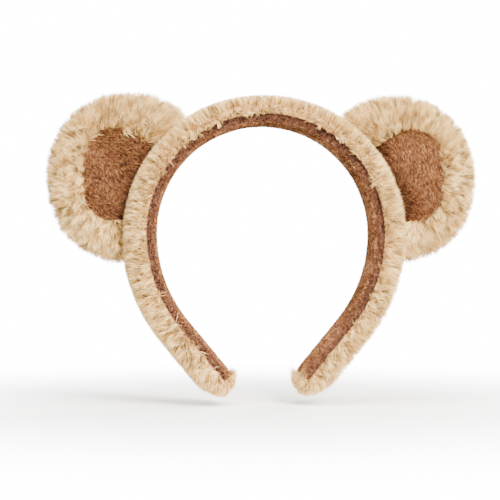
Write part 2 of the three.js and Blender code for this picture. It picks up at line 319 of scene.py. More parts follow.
def locks_of(roots, size, seed):
    """A number for each root's lock. Locks are about this size, with uneven edges.

    They are the cells of a cubic lattice in bent space, and two primes number the cells.
    """
    rng = np.random.default_rng(seed)
    bent = roots + drift(roots, LOCK_WAVE * size, seed) * size * LOCK_UNEVENNESS
    cells = np.floor(bent / size + rng.uniform(size=3)).astype(np.int64)
    key = (cells[:, 0] * LARGE_PRIMES[0] + cells[:, 1]) * LARGE_PRIMES[1] + cells[:, 2]
    return np.unique(key, return_inverse=True)[1]


square = np.random.default_rng(0).uniform(0, 10 * MM, (2000, 3)) * [1, 1, 0]
print("a square centimetre holds about", locks_of(square, 1.5 * MM, 0).max() + 1, "locks of 1.5 mm")

# %% Turn roots into slivers
NO_LENGTH = 1e-9
LOCK_LENGTHS = (0.9, 1.06)
MOST_SWING = 1.6
ROOT_LEAN, MORE_LEAN = 0.35, 1.1
ROOT_STRAY = 0.5
GATHER_POWER = 1.4
SHEAR_LEVELS = (0.96, 1.0)
SLIVER_TILT = 0.3
SLIVER_ROLL = math.radians(65)
SLIVER_TAPER = 0.5


def grow_pile(name, roots, normals, lean, length, cut, width, shade, habit, levels, seed):
    """One mesh of tapered slivers. lean is each fibre's bend along the cloth, 0 for upright.

    Cut is the height where the mill's shears trim each fibre. The habit says how the pile lies:
    its lock's size, how far tips gather to the lock's middle, how far locks swing against each
    other, how wild single fibres are, and how much of their shade a lock's fibres share.
    """
    rng = np.random.default_rng(seed)
    count = len(roots)
    group = locks_of(roots, habit["lock"], seed + 1)
    crowd = np.bincount(group)[:, None]
    swing = np.clip(rng.normal(size=(len(crowd), 3)), -MOST_SWING, MOST_SWING) * habit["swing"]
    lean = lean + swing[group]
    length = length * rng.uniform(*LOCK_LENGTHS, len(crowd))[group]
    stray = rng.normal(size=(count, 3)) * habit["wild"]
    paths = [roots]
    for level in range(1, levels + 1):
        share = level / levels
        way = unit(normals + lean * (ROOT_LEAN + MORE_LEAN * share) + stray * (ROOT_STRAY + share))
        paths.append(paths[-1] + way * (length / levels)[:, None])
    for level in range(1, levels + 1):
        middle = np.stack([np.bincount(group, paths[level][:, k]) for k in range(3)], -1) / crowd
        pull = habit["gather"] * (level / levels) ** GATHER_POWER
        paths[level] = paths[level] * (1 - pull) + middle[group] * pull
    rise = np.sum((paths[-1] - roots) * normals, axis=1, keepdims=True)
    shear = np.minimum(1, cut[:, None] / np.maximum(rise, NO_LENGTH))
    shear = shear * rng.uniform(*SHEAR_LEVELS, (count, 1))
    paths = [roots + (path - roots) * shear for path in paths]

    along = unit(paths[-1] - paths[0])
    flat = unit(np.cross(along, normals + stray * SLIVER_TILT))
    upright = np.cross(flat, along)
    roll = rng.uniform(-1, 1, (count, 1)) * SLIVER_ROLL
    across = flat * np.cos(roll) + upright * np.sin(roll)
    corners = []
    heights = []
    for level in range(levels):
        share = level / levels
        half = 0.5 * width[:, None] * (1 - SLIVER_TAPER * share)
        corners += [paths[level] - across * half, paths[level] + across * half]
        heights += [share, share]
    corners.append(paths[levels])
    heights.append(1.0)
    per = len(corners)
    first = np.arange(count)[:, None] * per
    quads = [first + np.array([2 * k, 2 * k + 1, 2 * k + 3, 2 * k + 2]) for k in range(levels - 1)]
    tips = first + np.array([2 * levels - 2, 2 * levels - 1, 2 * levels])

    mesh = bpy.data.meshes.new(name)
    vertices = np.stack(corners, 1).reshape(-1, 3)
    loops = np.concatenate([*[q.ravel() for q in quads], tips.ravel()])
    starts = np.concatenate([
        np.arange(0, 4 * count * (levels - 1), 4),
        4 * count * (levels - 1) + np.arange(0, 3 * count, 3)])
    mesh.vertices.add(len(vertices))
    mesh.vertices.foreach_set("co", vertices.astype(np.float32).ravel())
    mesh.loops.add(len(loops))
    mesh.loops.foreach_set("vertex_index", loops.astype(np.int32))
    mesh.polygons.add(len(starts))
    mesh.polygons.foreach_set("loop_start", starts.astype(np.int32))
    mesh.update(calc_edges=True)
    mesh.polygons.foreach_set("use_smooth", np.ones(len(starts), bool))

    lock_tint = rng.uniform(size=group.max() + 1)[group]
    # The shade adds painted shadow to the tint where a shade function gives one; the rest is each lock's
    # and fibre's own random tone.
    tint_and_shade = shade + habit["dye"] * lock_tint + (1 - habit["dye"]) * rng.uniform(size=count)
    labels = {"fibre_height": np.tile(heights, count), "fibre_tint_and_shade": np.repeat(tint_and_shade, per)}
    for label, values in labels.items():
        attribute = mesh.attributes.new(label, "FLOAT", "POINT")
        attribute.data.foreach_set("value", values.astype(np.float32))
    piece = bpy.data.objects.new(name, mesh)
    bpy.context.scene.collection.objects.link(piece)
    print(name, "has", count, "slivers and", count * (2 * levels - 1), "triangles")
    return piece


# %% [markdown]
# ## Materials
#
# Colours are written as sRGB hex, as a fabric supplier's card gives them, and one function
# turns them to the linear numbers that a shader wants. Another adds a node with its settings
# and links.

# %% Colour and node helpers
def linear(hex_code):
    """sRGB hex to linear red, green, blue and alpha."""
    channels = [int(hex_code[k:k + 2], 16) / 255 for k in (1, 3, 5)]
    return (*[c / 12.92 if c <= 0.04045 else ((c + 0.055) / 1.055) ** 2.4 for c in channels], 1)


def add_node(tree, kind, settings=None, inputs=None):
    """Adds a node. An input is a value, or another node's socket to link from."""
    node = tree.nodes.new(kind)
    for name, value in (settings or {}).items():
        setattr(node, name, value)
    for key, value in (inputs or {}).items():
        if isinstance(value, bpy.types.NodeSocket):
            tree.links.new(value, node.inputs[key])
        else:
            node.inputs[key].default_value = value
    return node


def new_material(name):
    material = bpy.data.materials.new(name)
    material.use_nodes = True
    tree = material.node_tree
    tree.nodes.clear()
    return material, tree


print("mid grey #808080 is", round(linear("#808080")[0], 3), "in linear light")

# %% Pile materials
FIBRE_IOR = 1.5
DRIFT_FROM, DRIFT_TO, DRIFT_MOST = 0.45, 0.75, 0.4


def pile_material(name, shaded_root_hex, body_hex, lit_tip_hex, drift_hex, drift_size,
                  variety, through, roughness, gloss):
    """Synthetic pile coloured along each fibre: dark at the root as painted shade deep in the pile, pale
    at the tips as a painted highlight.

    The drift colour comes and goes over its size, as brushed patches do. Variety is how much
    single fibres differ, through is how much light passes into them, and gloss is 0.5 for a
    bare fibre and less where crimp or crushing scatters the highlight.
    """
    material, tree = new_material(name)
    height = add_node(tree, "ShaderNodeAttribute", {"attribute_name": "fibre_height"})
    tint_and_shade = add_node(tree, "ShaderNodeAttribute", {"attribute_name": "fibre_tint_and_shade"})
    rise = add_node(tree, "ShaderNodeMath", {"operation": "MULTIPLY_ADD"},
                    {0: height.outputs["Fac"], 1: 1 - variety / 2, 2: -variety / 4})
    level = add_node(tree, "ShaderNodeMath", {"operation": "MULTIPLY_ADD", "use_clamp": True},
                     {0: tint_and_shade.outputs["Fac"], 1: variety, 2: rise.outputs[0]})
    ramp = add_node(tree, "ShaderNodeValToRGB", inputs={"Fac": level.outputs[0]})
    ramp.color_ramp.elements[0].color = linear(shaded_root_hex)
    ramp.color_ramp.elements[1].color = linear(lit_tip_hex)
    body = ramp.color_ramp.elements.new(0.5)
    body.color = linear(body_hex)
    place = add_node(tree, "ShaderNodeTexCoord")
    patches = add_node(tree, "ShaderNodeTexNoise",
                       inputs={"Vector": place.outputs["Object"], "Scale": 1 / drift_size, "Detail": 2})
    share = add_node(tree, "ShaderNodeMapRange",
                     inputs={"Value": patches.outputs["Fac"], "From Min": DRIFT_FROM,
                             "From Max": DRIFT_TO, "To Max": DRIFT_MOST})
    colour = add_node(tree, "ShaderNodeMix", {"data_type": "RGBA"},
                      {"Factor": share.outputs["Result"], 6: ramp.outputs["Color"], 7: linear(drift_hex)})
    shader = add_node(tree, "ShaderNodeBsdfPrincipled",
                      inputs={"Base Color": colour.outputs[2], "Roughness": roughness, "IOR": FIBRE_IOR,
                              "Specular IOR Level": gloss})
    glow = add_node(tree, "ShaderNodeBsdfTranslucent", inputs={"Color": colour.outputs[2]})
    both = add_node(tree, "ShaderNodeMixShader",
                    inputs={"Fac": through, 1: shader.outputs[0], 2: glow.outputs[0]})
    add_node(tree, "ShaderNodeOutputMaterial", inputs={"Surface": both.outputs[0]})
    return material


# Acrylic fibre is crimped and lets light in, so long fur is soft to look at and hardly shines.
# The dark root colour is painted shade deep in the pile, and the pale tip colour is a painted highlight.
FUR = pile_material("acrylic_faux_fur", "#4a3013", "#ddb165", "#ffe7a6", "#d3a85f", 14 * MM,
                    variety=1.3, through=0.2, roughness=0.5, gloss=0.4)
# Velour is cut short. Its dark root colour is painted shade between the fibres, and its pale tip colour
# is painted sheen on the nap's ends.
VELOUR = pile_material("polyester_velour", "#241006", "#6a3d20", "#c58e5c", "#6a3d20", 9 * MM,
                       variety=1.1, through=0.12, roughness=0.6, gloss=0.2)
print("pile materials:", FUR.name, "and", VELOUR.name)


# %% Backing materials
LOOP_RELIEF = 0.3 * MM
MOTTLE_IN_LOOPS = 0.12


def backing_material(name, deep_hex, high_hex, stitch):
    """The knitted ground that a pile is sewn through: rows of small loops, seen between fibres."""
    material, tree = new_material(name)
    place = add_node(tree, "ShaderNodeTexCoord")
    loops = add_node(tree, "ShaderNodeTexVoronoi",
                     inputs={"Vector": place.outputs["Object"], "Scale": 1 / stitch})
    mottle = add_node(tree, "ShaderNodeTexNoise",
                      inputs={"Vector": place.outputs["Object"], "Scale": MOTTLE_IN_LOOPS / stitch,
                              "Detail": 4})
    blend = add_node(tree, "ShaderNodeMath", {"operation": "MULTIPLY"},
                     {0: loops.outputs["Distance"], 1: mottle.outputs["Fac"]})
    colour = add_node(tree, "ShaderNodeMix", {"data_type": "RGBA"},
                      {"Factor": blend.outputs[0], 6: linear(deep_hex), 7: linear(high_hex)})
    bump = add_node(tree, "ShaderNodeBump",
                    inputs={"Height": loops.outputs["Distance"], "Strength": 0.5,
                            "Distance": LOOP_RELIEF})
    shader = add_node(tree, "ShaderNodeBsdfPrincipled",
                      inputs={"Base Color": colour.outputs[2], "Roughness": 0.9,
                              "Normal": bump.outputs[0]})
    add_node(tree, "ShaderNodeOutputMaterial", inputs={"Surface": shader.outputs[0]})
    return material


# A fur backing has about 8 loops to a centimetre, and a velour ground about 14.
FUR_BACKING = backing_material("knitted_fur_backing", "#b08350", "#d3aa74", 1.2 * MM)
VELOUR_GROUND = backing_material("knitted_velour_ground", "#5f3820", "#84553a", 0.7 * MM)
print("backing materials:", FUR_BACKING.name, "and", VELOUR_GROUND.name)

# %% [markdown]
# ## Plain materials
#
# The hoop, the wadding, the stuffing and the thread have no pile. Each is nearly one colour, with
# a fine grain that comes from how it was made: a mould's skin, a web of fibre or a twist. One
# noise pattern, scaled to the real grain and stretched where the fibres run one way, does for all.

# %% Plain materials
def plain_material(name, low_hex, high_hex, grain, relief, roughness, ior, stretch=(1, 1, 1)):
    """A finish of one colour, mottled at the size of its grain, with a relief of that depth."""
    material, tree = new_material(name)
    place = add_node(tree, "ShaderNodeTexCoord")
    shaped = add_node(tree, "ShaderNodeMapping",
                      inputs={"Vector": place.outputs["Object"], "Scale": stretch})
    mottle = add_node(tree, "ShaderNodeTexNoise",
                      inputs={"Vector": shaped.outputs[0], "Scale": 1 / grain, "Detail": 6,
                              "Roughness": 0.6})
    colour = add_node(tree, "ShaderNodeMix", {"data_type": "RGBA"},
                      {"Factor": mottle.outputs["Fac"], 6: linear(low_hex), 7: linear(high_hex)})
    bump = add_node(tree, "ShaderNodeBump",
                    inputs={"Height": mottle.outputs["Fac"], "Distance": relief})
    shader = add_node(tree, "ShaderNodeBsdfPrincipled",
                      inputs={"Base Color": colour.outputs[2], "Roughness": roughness, "IOR": ior,
                              "Normal": bump.outputs[0]})
    add_node(tree, "ShaderNodeOutputMaterial", inputs={"Surface": shader.outputs[0]})
    return material


# Moulded polypropylene is milky and satin, from a spark-eroded mould with a 0.3 mm grain.
HOOP_PLASTIC = plain_material("moulded_polypropylene", "#d8d3c8", "#e6e2d8",
                              grain=0.3 * MM, relief=0.01 * MM, roughness=0.42, ior=1.49)
# Bonded polyester wadding is a loose web whose tufts are 2 or 3 mm across.
WADDING = plain_material("bonded_polyester_wadding", "#d9d6cf", "#f4f2ec",
                         grain=2.5 * MM, relief=0.6 * MM, roughness=0.95, ior=FIBRE_IOR)
# Carded fibre is drawn out in one direction, so its grain is stretched.
FIBRE_FILL = plain_material("carded_polyester_fibre", "#e2dfd8", "#f7f5f0",
                            grain=3 * MM, relief=0.8 * MM, roughness=0.95, ior=FIBRE_IOR,
                            stretch=(1, 1, 3))
# Two-ply sewing thread shows a slanted twist every half millimetre or so.
thread = {"grain": 0.5 * MM, "relief": 0.1 * MM, "roughness": 0.6, "ior": FIBRE_IOR, "stretch": (3, 1, 1)}
TAN_THREAD = plain_material("tan_sewing_thread", "#b08450", "#d9b283", **thread)
BROWN_THREAD = plain_material("brown_sewing_thread", "#5f361c", "#8a5734", **thread)
print("materials:", [m.name for m in bpy.data.materials])


# %% [markdown]
# ## The band's fur and velour
#
# Each half of the sleeve is one fur strip and one velour strip. Both are cut at the crown's
# middle here, one half for each arm. The fur strip folds over the tip and ends inside, as a hem
# does.

# %% Place the band's cloth
CLOTH_THICKNESS = 0.6 * MM
HEM_START = ARM_END + 2.5 * MM
LINING_INSET = 1.0 * MM
ROWS = 150
SLEEVE_CORE = SLEEVE_RISE / 2
CORE_END = ARM_END - 2 * MM


def bend_with_arm(piece):
    """Bakes the piece's placement into its points."""
    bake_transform(piece)


def strip(side, first, last, turns, inset):
    """A grid of cloth points along the band, and the core points that they surround."""
    along = np.linspace(first, last, ROWS)[:, None]
    grid = sleeve_point(side, along, turns[None, :], inset)
    x, z = band_point(np.minimum(along, CORE_END), SLEEVE_CORE)
    core = np.stack(np.broadcast_arrays(side * x, 0 * x, z), -1)
    return grid, np.broadcast_to(core, grid.shape)


def finish_piece(piece, material):
    piece.data.materials.append(material)
    return piece


# %% Grow a pile on a cloth
FIBRE_LENGTHS = (0.8, 1.08)
FIBRE_WIDTHS = (0.7, 1.2)
PER_MM2 = 1e6


def even_shade(roots, normals):
    return np.zeros(len(roots))


def pile_on(name, grid, core, density, length_of, lean_of, width, habit, levels, seed,
            shade_of=even_shade):
    """Grows a pile on a grid. Its length, lean and shade are functions of the roots and normals."""
    row, column = scatter(grid, density, seed)
    roots = at_grid(grid, row, column)
    normals = unit(at_grid(grid_normals(grid, core), row, column))
    rng = np.random.default_rng(seed + 9)
    whole = length_of(roots, normals)
    length = whole * rng.uniform(*FIBRE_LENGTHS, len(roots))
    widths = width * rng.uniform(*FIBRE_WIDTHS, len(roots))
    return grow_pile(name, roots, normals, lean_of(roots, normals), length, whole * habit["cut"],
                     widths, shade_of(roots, normals), habit, levels, seed)


print("single fibres are", FIBRE_LENGTHS[0], "to", FIBRE_LENGTHS[1], "of their pile's length")

# %% Say how the fur lies
FUR_HABIT = {"lock": 1.5 * MM, "gather": 0.34, "swing": 0.36, "wild": 0.22, "cut": 0.66, "dye": 0.6}
FUR_WIDTH = 0.3 * MM
FUR_DENSITY = 5.4 * PER_MM2
FUR_DRIFT = 9 * MM
BAND_DRIFT, TIP_DRIFT = 0.22, 0.25
# Lengths of the fur in mm: on the crown, and what other places add or lose. The shears cut it
# to the habit's share of this.
CROWN_FUR, SHOULDER_FUR, ARM_FUR = 6.6, 1.1, 2.2
SEAM_TRIM, TIP_TRIM = 2.4, 2.4
CLIPPED_FUR, END_FUR, HEM_FUR = 2.0, 3.5, 3.4
SHOULDER_HALF_WIDTH = 30 * MM
ARM_DROP = 1.2 * CROWN_RADIUS
TIP_TRIM_LENGTH = 6 * MM
CROWN_DEPTH = 45 * MM
FUR_LEAN, SEAM_FLOP, CROWN_FLOP = 0.8, 0.25, 0.6
TIP_LEAN, HEM_FLOP = 1.2, 2.0

end_x, end_z = band_point(np.array([ARM_END - 20 * MM, ARM_END]), 0)
ARM_WAY = unit(np.array([end_x[1] - end_x[0], 0, end_z[1] - end_z[0]]))
ARM_TIP = np.array([end_x[1], 0, end_z[1]])
print("the arm's tip points", round(math.degrees(math.asin(-ARM_WAY[2])), 1), "degrees down")


def past_end(roots):
    """How far each root is past the arm's end, along the arm."""
    return (np.abs(roots * [1, 0, 0]) + roots * [0, 0, 1] - ARM_TIP) @ ARM_WAY


def band_fur_length(roots, normals):
    """Flatter on the crown than on the arms, and trimmed at the seams and the tips.

    By a seam the cloth has turned to face front or rear, so y is most of its normal there.
    """
    down = np.clip(-roots[:, 2] / ARM_DROP, 0, 1)
    by_seam = np.clip((np.abs(normals[:, 1]) - 0.8) * 5, 0, 1)
    at_tip = np.clip(past_end(roots) / TIP_TRIM_LENGTH + 1, 0, 1)
    shoulder = np.clip(np.abs(roots[:, 0]) / SHOULDER_HALF_WIDTH, 0, 1) ** 2
    full = CROWN_FUR + SHOULDER_FUR * shoulder + ARM_FUR * down
    return (full - SEAM_TRIM * by_seam - TIP_TRIM * at_tip) * MM


def band_fur_lean(roots, normals):
    """Leans away from the head, except that the fibres by a seam flop over it."""
    away = unit(roots * [1, 0, 1] - np.array([0, 0, -CROWN_RADIUS]))
    by_seam = np.clip((np.abs(normals[:, 1:2]) - 0.75) * 4, 0, 1)
    on_crown = np.clip(1 + roots[:, 2:] / CROWN_DEPTH, 0, 1)
    strength = FUR_LEAN - by_seam * (SEAM_FLOP + CROWN_FLOP * on_crown)
    return away * strength + drift(roots, FUR_DRIFT, 300) * BAND_DRIFT


def by_hem(roots):
    """1 along the hem's edge, which lies on the lining, and 0 from 1.5 mm further out."""
    return np.clip(1 - (past_end(roots) / MM - 2.5) / 1.5, 0, 1)


def tip_fur_length(roots, normals):
    """Clipped short on the head side, and longer at the hem's edge and in the last few mm."""
    at_end = np.clip((past_end(roots) / MM - 2) / 5, 0, 1)
    return (CLIPPED_FUR + END_FUR * at_end + HEM_FUR * by_hem(roots)) * MM


def tip_fur_lean(side):
    """Hangs past the end of the arm, except that the hem's edge flops back over the lining."""
    def lean(roots, normals):
        strength = TIP_LEAN - HEM_FLOP * by_hem(roots)[:, None]
        return strength * ARM_WAY * [side, 1, 1] + drift(roots, FUR_DRIFT, 320) * TIP_DRIFT
    return lean


# %% Say how the lining's nap lies
NAP_HABIT = {"lock": 1.0 * MM, "gather": 0.35, "swing": 0.25, "wild": 0.2, "cut": 1.0, "dye": 0.5}
NAP_WIDTH = 0.36 * MM
NAP_LENGTH = 1.0 * MM
LINING_DENSITY = 8 * PER_MM2
LINING_DRIFT = 16 * MM
LINING_LEAN = 0.35
# The lining's own tone, and the painted shadow that darkens its nap in a strip beside the fur.
LINING_TONE, PAINTED_FUR_SHADOW = 0.09, 0.75
FUR_SHADOW_FROM, FUR_SHADOW_WIDTH = 11.7, 0.65


def lining_nap_length(roots, normals):
    return np.full(len(roots), NAP_LENGTH)


def lining_tone_and_painted_shadow(roots, normals):
    """The lining's own tone, darkened in a strip beside the fur as painted shadow from the fur that
    overhangs the seam.
    """
    in_painted_fur_shadow = np.clip((np.abs(roots[:, 1]) / MM - FUR_SHADOW_FROM) / FUR_SHADOW_WIDTH, 0, 1)
    return LINING_TONE - PAINTED_FUR_SHADOW * in_painted_fur_shadow


def lining_lean(roots, normals):
    return drift(roots, LINING_DRIFT, 400) * LINING_LEAN


print("the nap is", round(NAP_LENGTH / MM, 1), "mm long, and the fur up to",
      round(CROWN_FUR + SHOULDER_FUR + ARM_FUR, 1), "mm before it is sheared")

# %% Make the two halves of the sleeve
FUR_END = ARM_END + TIP_LENGTH
LINING_END = FUR_END - 3 * MM
NAP_END = HEM_START + 2 * MM
HEM_OUT, HEM_IN = -0.3 * MM, 0.1 * MM
TURNS = 48
fur_turns = even_turns(-math.pi / 2, math.pi / 2, TURNS)
lining_turns = even_turns(math.pi / 2, 3 * math.pi / 2, TURNS)


def cloth_strip(name, side, first, last, turns, insets, material):
    """A strip of cloth on the band, between two insets. Also gives its outer grid and core."""
    outer, core = strip(side, first, last, turns, insets[0])
    inner, _ = strip(side, first, last, turns, insets[1])
    return finish_piece(add_cloth(name, outer, inner), material), outer, core


for number, (name, side) in enumerate(SIDES.items()):
    backing, outer, core = cloth_strip(name + "_fur_backing", side, 0, FUR_END, fur_turns,
                                       (0, CLOTH_THICKNESS), FUR_BACKING)
    hem, hem_grid, hem_core = cloth_strip(name + "_tip_hem", side, HEM_START, FUR_END, lining_turns,
                                          (HEM_OUT, HEM_IN), FUR_BACKING)
    pile = pile_on(name + "_band_fur", outer, core, FUR_DENSITY, band_fur_length,
                   band_fur_lean, FUR_WIDTH, FUR_HABIT, 3, 10 + number)
    hem_pile = pile_on(name + "_tip_fur", hem_grid, hem_core, FUR_DENSITY, tip_fur_length,
                       tip_fur_lean(side), FUR_WIDTH, FUR_HABIT, 3, 20 + number)
    for piece in (pile, hem_pile):
        finish_piece(piece, FUR)
    ground, _, _ = cloth_strip(name + "_lining_ground", side, 0, LINING_END, lining_turns,
                               (LINING_INSET, LINING_INSET + CLOTH_THICKNESS), VELOUR_GROUND)
    short, core = strip(side, 0, NAP_END, lining_turns, LINING_INSET)
    nap = pile_on(name + "_lining_nap", short, core, LINING_DENSITY, lining_nap_length,
                  lining_lean, NAP_WIDTH, NAP_HABIT, 2, 30 + number, lining_tone_and_painted_shadow)
    finish_piece(nap, VELOUR)
    for piece in (backing, hem, pile, hem_pile, ground, nap):
        bend_with_arm(piece)
    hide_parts(name + "_arm_fur", "crown_fur")
    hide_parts(name + "_arm_lining", "crown_lining")


# %% [markdown]
# ## The ears
#
# Each ear is a small round cushion: a fur front with a velour patch set in it, a fur back, and
# fibre stuffing. It is easiest to describe from the patch's middle, as a distance in each
# direction. The ear's outline is an ellipse cut by the band's curve, and the patch's is a
# rounded box cut by the same curve. Rings of points between them make the fur border.

# %% Describe the ear's outlines
EAR_HALF_WIDTH = 37.8 * MM
EAR_HALF_HEIGHT = 38.7 * MM
EAR_DROP = 0.6 * MM
EAR_POWER = 2.1
EAR_SWELL = 8 * MM
ROOT_THICKNESS = 0.42
ROOT_TAPER = 15 * MM
PATCH_MIDDLE = np.array([79, -25]) * MM
PATCH_OUTER = 94.6 * MM
PATCH_TOP = -0.8 * MM
PATCH_BOTTOM = -49.5 * MM
PATCH_CORNER = 16 * MM
PATCH_SLOPE = 0.55
PATCH_SLOPE_FROM = 74 * MM
PATCH_DEPTH = 1.6 * MM
PATCH_ROOT = 71 * MM
COVER_ROOT = 68.5 * MM
SPOKES = 192
EAR_HALVINGS = 40
OUTSIDE_EAR = 90 * MM
EASE_REACH, EASE_WIDTH = 6, 2.2


def reach(inside, directions):
    """How far each direction runs from the patch's middle before it leaves a shape.

    It halves the stretch that holds the edge, again and again, as a guessing game does.
    """
    near, far = np.zeros(len(directions)), np.full(len(directions), OUTSIDE_EAR)
    for _ in range(EAR_HALVINGS):
        half = (near + far) / 2
        held = inside(PATCH_MIDDLE + directions * half[:, None])
        near, far = np.where(held, half, near), np.where(held, far, half)
    return near


def beyond_band(places, radius):
    return np.hypot(places[:, 0], places[:, 1] + CROWN_RADIUS) > radius


def in_ear(places):
    from_middle = places - np.array([EAR_X, EAR_Z - EAR_DROP])
    over = from_middle / np.array([EAR_HALF_WIDTH, EAR_HALF_HEIGHT])
    return (np.sum(np.abs(over) ** EAR_POWER, axis=1) < 1) & beyond_band(places, COVER_ROOT)


def in_patch(places):
    middle_z = (PATCH_TOP + PATCH_BOTTOM) / 2
    half_z = (PATCH_TOP - PATCH_BOTTOM) / 2
    out = np.stack([places[:, 0] - (PATCH_OUTER - PATCH_CORNER),
                    abs(places[:, 1] - middle_z) - half_z + PATCH_CORNER])
    sloped = places[:, 1] < PATCH_TOP - PATCH_SLOPE * np.maximum(PATCH_SLOPE_FROM - places[:, 0], 0)
    return (np.hypot(*np.maximum(out, 0)) < PATCH_CORNER) & beyond_band(places, PATCH_ROOT) & sloped


def rounded(distances):
    """Eases the corners of an outline given by its distance along each spoke."""
    spare = EASE_REACH + 2
    padded = np.concatenate([distances[-spare - 1:-1], distances, distances[1:spare + 1]])
    bell = np.exp(-0.5 * (np.arange(-EASE_REACH, EASE_REACH + 1) / EASE_WIDTH) ** 2)
    return np.convolve(padded, bell / bell.sum(), "same")[spare:-spare]


spoke_turns = np.linspace(-math.pi, math.pi, SPOKES + 1)
spokes = np.stack([np.cos(spoke_turns), np.sin(spoke_turns)], -1)
ear_reach = rounded(reach(in_ear, spokes))
patch_reach = np.minimum(rounded(reach(in_patch, spokes)), ear_reach - 1.5 * MM)
print("the ear's edge is", round(ear_reach.min() / MM, 1), "to", round(ear_reach.max() / MM, 1),
      "mm from the patch's middle")


# %% Shape the ear's cushion
RIM_POWER, PILLOW_POWER = 3.2, 1 / 2.2
SEAM_VALLEY = 1.3 * MM
VALLEY_WIDTH = 0.16
PATCH_PULL, PATCH_PULL_POWER = 0.45, 6
LEAST_DEPTH = 0.4 * MM
CORE_IN, CORE_DEPTH = 0.8, 0.5


def ear_thickness(places):
    """Half the cushion's thickness: full inside, round at the rim, thinner at the root."""
    from_middle = places - PATCH_MIDDLE
    turn = np.arctan2(from_middle[..., 1], from_middle[..., 0])
    share = np.hypot(from_middle[..., 0], from_middle[..., 1]) / np.interp(turn, spoke_turns, ear_reach)
    pillow = np.maximum(1 - np.clip(share, 0, 1) ** RIM_POWER, 0) ** PILLOW_POWER
    out = np.hypot(places[..., 0], places[..., 1] + CROWN_RADIUS) - COVER_ROOT
    taper = np.clip(out / ROOT_TAPER, 0, 1)
    return EAR_SWELL * pillow * (ROOT_THICKNESS + (1 - ROOT_THICKNESS) * taper * (2 - taper))


def ear_grid(side, first, last, rings, facing, depth_of):
    """A grid of rings between two outlines, on the front (-1) or back (1) of an ear."""
    shares = np.linspace(0, 1, rings)[:, None]
    distance = first[None, :] * (1 - shares) + last[None, :] * shares
    places = PATCH_MIDDLE + spokes[None] * distance[..., None]
    depth = depth_of(places, shares)
    grid = np.stack([side * places[..., 0], EAR_SET_BACK + facing * depth, places[..., 1]], -1)
    core = np.stack([side * (PATCH_MIDDLE[0] + CORE_IN * (places[..., 0] - PATCH_MIDDLE[0])),
                     np.full_like(depth, EAR_SET_BACK) + facing * CORE_DEPTH * depth,
                     PATCH_MIDDLE[1] + CORE_IN * (places[..., 1] - PATCH_MIDDLE[1])], -1)
    return grid, core


def border_depth(places, shares):
    """The fur border rises steeply from the patch's seam, like the edge of a cushion."""
    valley = SEAM_VALLEY * np.exp(-shares / VALLEY_WIDTH)
    return np.maximum(ear_thickness(places) - valley, 0)


def back_depth(places, shares):
    return ear_thickness(places)


def patch_depth(places, shares):
    """The patch lies a little lower than the fur, and is pulled in at its seam."""
    pulled = PATCH_DEPTH * (1 - PATCH_PULL + PATCH_PULL * shares**PATCH_PULL_POWER)
    return np.maximum(ear_thickness(places) - pulled, LEAST_DEPTH)


def bend_with_ear(piece):
    """Bakes the piece's placement into its points."""
    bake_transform(piece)


middle = ear_thickness(PATCH_MIDDLE[None, :])[0]
print("the ear is", round(2 * middle / MM, 1), "mm thick at the patch's middle, before stuffing")


# %% [markdown]
# ## Stuffing the ears
#
# A stuffed ear isn't a neat pillow: the filling swells the middle and the rim puckers where the
# cloth has less room. Blender's cloth solver finds that shape. The ear's body is remeshed to
# even squares, blown up from inside with gravity off, and held still at its root, where it is
# sewn to the band. How far each spot moved is then passed on to the cover, the patch and the
# filling, so that they stay one inside the other.

# %% Make the body that is blown up
MERGE_DISTANCE = 0.02 * MM
BODY_RINGS = 24
BODY_START = 0.3 * MM
BODY_EDGE_POWER = 8


def closed_body(name, grid):
    """A closed solid from a grid of rings, whose first and last rings are each drawn to a point."""
    ends = [np.broadcast_to(grid[k, :-1].mean(0), grid[k, :-1].shape) for k in (0, -1)]
    rings = np.concatenate([ends[0][None], grid[:, :-1], ends[1][None]])
    body = add_mesh(name, rings, grid_faces(len(rings), rings.shape[1], closed=True))
    form = bmesh.new()
    form.from_mesh(body.data)
    bmesh.ops.remove_doubles(form, verts=form.verts, dist=MERGE_DISTANCE)
    bmesh.ops.recalc_face_normals(form, faces=form.faces)
    form.to_mesh(body.data)
    form.free()
    body.data.polygons.foreach_set("use_smooth", np.ones(len(body.data.polygons), bool))
    return body


def ear_body(name, side, inset):
    """The ear as one closed cushion, front and back, this far inside its cover."""
    reaches = ear_reach - inset
    start = np.full(SPOKES + 1, BODY_START)

    def depth(places, shares):
        return np.maximum(ear_thickness(places) - inset, 0) * np.sqrt(1 - shares**BODY_EDGE_POWER)

    front, _ = ear_grid(side, start, reaches, BODY_RINGS, -1, depth)
    back, _ = ear_grid(side, start, reaches, BODY_RINGS, 1, depth)
    return closed_body(name, np.concatenate([front, back[-2::-1]]))


def points_of(piece):
    spots = np.empty(3 * len(piece.data.vertices), np.float32)
    piece.data.vertices.foreach_get("co", spots)
    return spots.reshape(-1, 3).astype(float)


def evaluated(piece):
    bpy.context.view_layer.update()
    return piece.evaluated_get(bpy.context.evaluated_depsgraph_get())


print("an ear's body has", 2 * BODY_RINGS - 1, "rings of", SPOKES, "points")


# %% Blow up each ear
CLOTH_SQUARE = 2.6 * MM
MOST_SWELL = 2.0 * MM
PRESSURE = 11
STEPS = 20
FIRST_LUMPS, LUMP_SIZE = 0.3 * MM, 13 * MM
HELD_ROOT = 4 * MM
NEIGHBOURS = 10
NEIGHBOUR_EASE = 1.2 * MM


